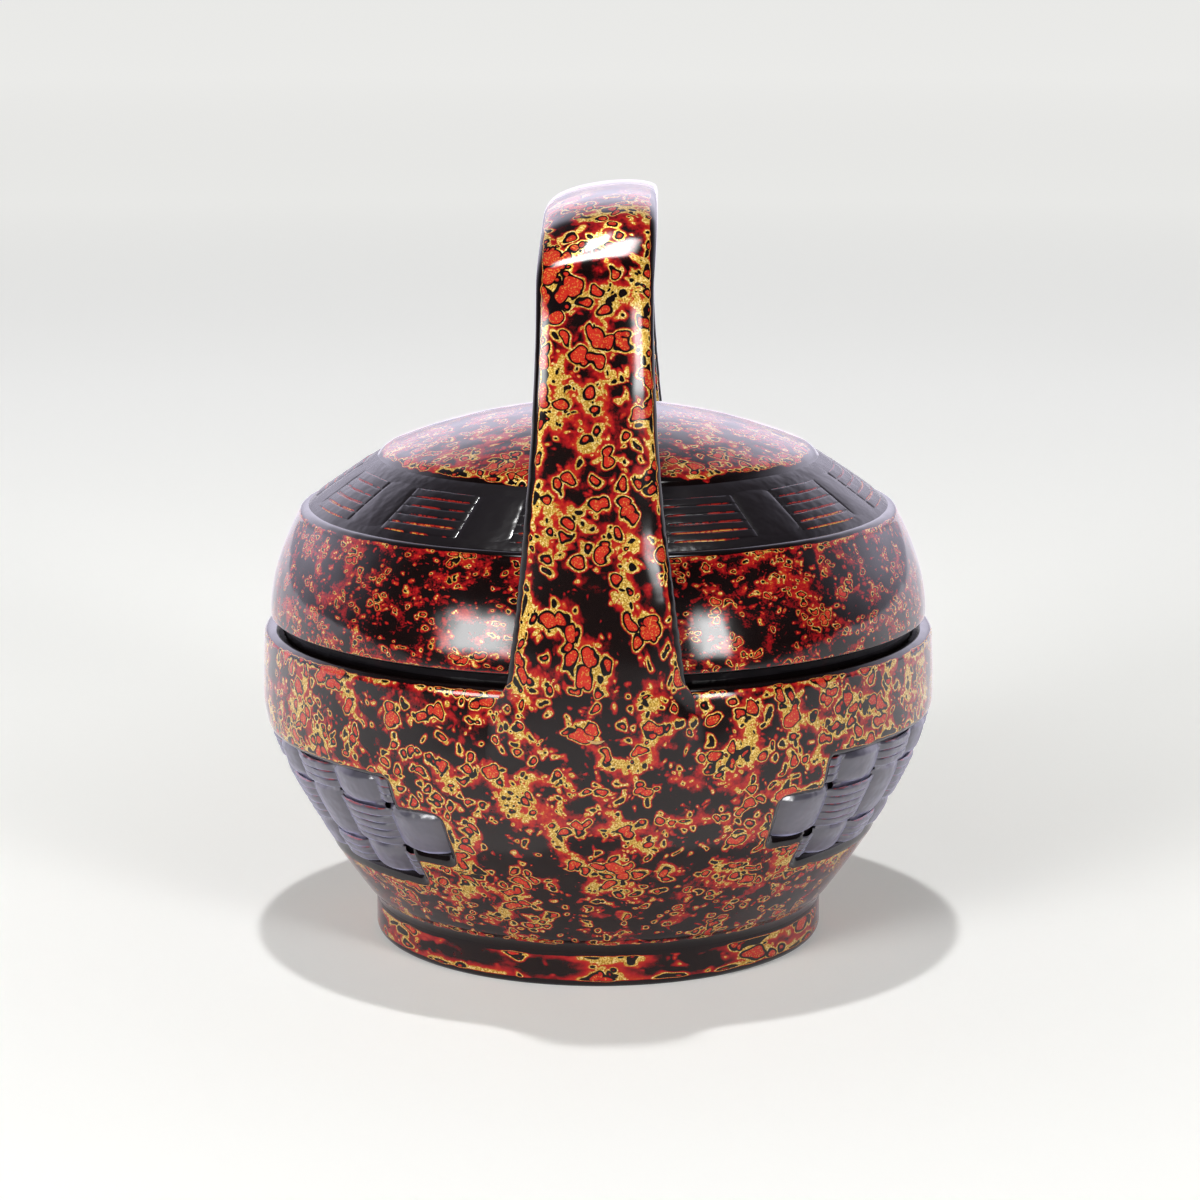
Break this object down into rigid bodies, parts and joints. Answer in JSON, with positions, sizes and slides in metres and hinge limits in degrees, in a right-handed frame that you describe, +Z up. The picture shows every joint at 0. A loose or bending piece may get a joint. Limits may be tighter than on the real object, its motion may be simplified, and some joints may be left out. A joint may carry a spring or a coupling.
{
  "type": "lidded lacquer basket",
  "caption": "Round footed basket of woven strips under mottled lacquer, with a domed lift-off lid, open weave panels and a fixed strap handle arched over the lid.",
  "frame": {"origin": "centre of the foot, on the surface that the basket stands on", "axes": "+Z up through the middle of bowl and lid; the handle arches from the front (-Y) to the back (+Y)"},
  "size_m": [0.1796, 0.1886, 0.2003],
  "materials": {
    "mottled_lacquer": "gold and vermilion mottle polished out of near-black lacquer, high gloss",
    "black_lacquer": "plain black lacquer, satin gloss",
    "lacquered_weave": "split bamboo under black lacquer, rubbed through on its edges",
    "bare_bamboo": "bare split bamboo"
  },
  "bodies": {
    "basket": {"foot_ring": "mottled_lacquer", "bowl_core": "black_lacquer", "bowl_skin": "mottled_lacquer", "rim_hoop": "black_lacquer", "lid_collar": "black_lacquer", "handle_strap": "mottled_lacquer", "handle_peg_front": "bare_bamboo", "handle_peg_back": "bare_bamboo", "right_stake_01": "lacquered_weave", "right_stake_02": "lacquered_weave", "right_stake_03": "lacquered_weave", "right_stake_04": "lacquered_weave", "right_stake_05": "lacquered_weave", "right_stake_06": "lacquered_weave", "right_stake_07": "lacquered_weave", "right_stake_08": "lacquered_weave", "right_stake_09": "lacquered_weave", "right_stake_10": "lacquered_weave", "right_weft_lower_1": "lacquered_weave", "right_weft_lower_2": "lacquered_weave", "right_weft_lower_3": "lacquered_weave", "right_weft_middle_1": "lacquered_weave", "right_weft_middle_2": "lacquered_weave", "right_weft_middle_3": "lacquered_weave", "right_weft_middle_4": "lacquered_weave", "right_weft_middle_5": "lacquered_weave", "right_weft_upper_1": "lacquered_weave", "right_weft_upper_2": "lacquered_weave", "right_weft_upper_3": "lacquered_weave", "left_stake_01": "lacquered_weave", "left_stake_02": "lacquered_weave", "left_stake_03": "lacquered_weave", "left_stake_04": "lacquered_weave", "left_stake_05": "lacquered_weave", "left_stake_06": "lacquered_weave", "left_stake_07": "lacquered_weave", "left_stake_08": "lacquered_weave", "left_stake_09": "lacquered_weave", "left_stake_10": "lacquered_weave", "left_weft_lower_1": "lacquered_weave", "left_weft_lower_2": "lacquered_weave", "left_weft_lower_3": "lacquered_weave", "left_weft_middle_1": "lacquered_weave", "left_weft_middle_2": "lacquered_weave", "left_weft_middle_3": "lacquered_weave", "left_weft_middle_4": "lacquered_weave", "left_weft_middle_5": "lacquered_weave", "left_weft_upper_1": "lacquered_weave", "left_weft_upper_2": "lacquered_weave", "left_weft_upper_3": "lacquered_weave"},
    "lid": {"lid_core": "black_lacquer", "lid_band": "mottled_lacquer", "lid_cap": "mottled_lacquer", "lid_rim_hoop": "black_lacquer", "lid_stake_wheel": "lacquered_weave", "lid_weft_1": "lacquered_weave", "lid_weft_2": "lacquered_weave", "lid_weft_3": "lacquered_weave", "lid_weft_4": "lacquered_weave", "lid_weft_5": "lacquered_weave"}
  },
  "joints": [
    {"name": "lid_lift", "type": "slide", "parent": "basket", "child": "lid", "axis": [0, 0, 1], "range_m": [0, 0.048]}
  ]
}
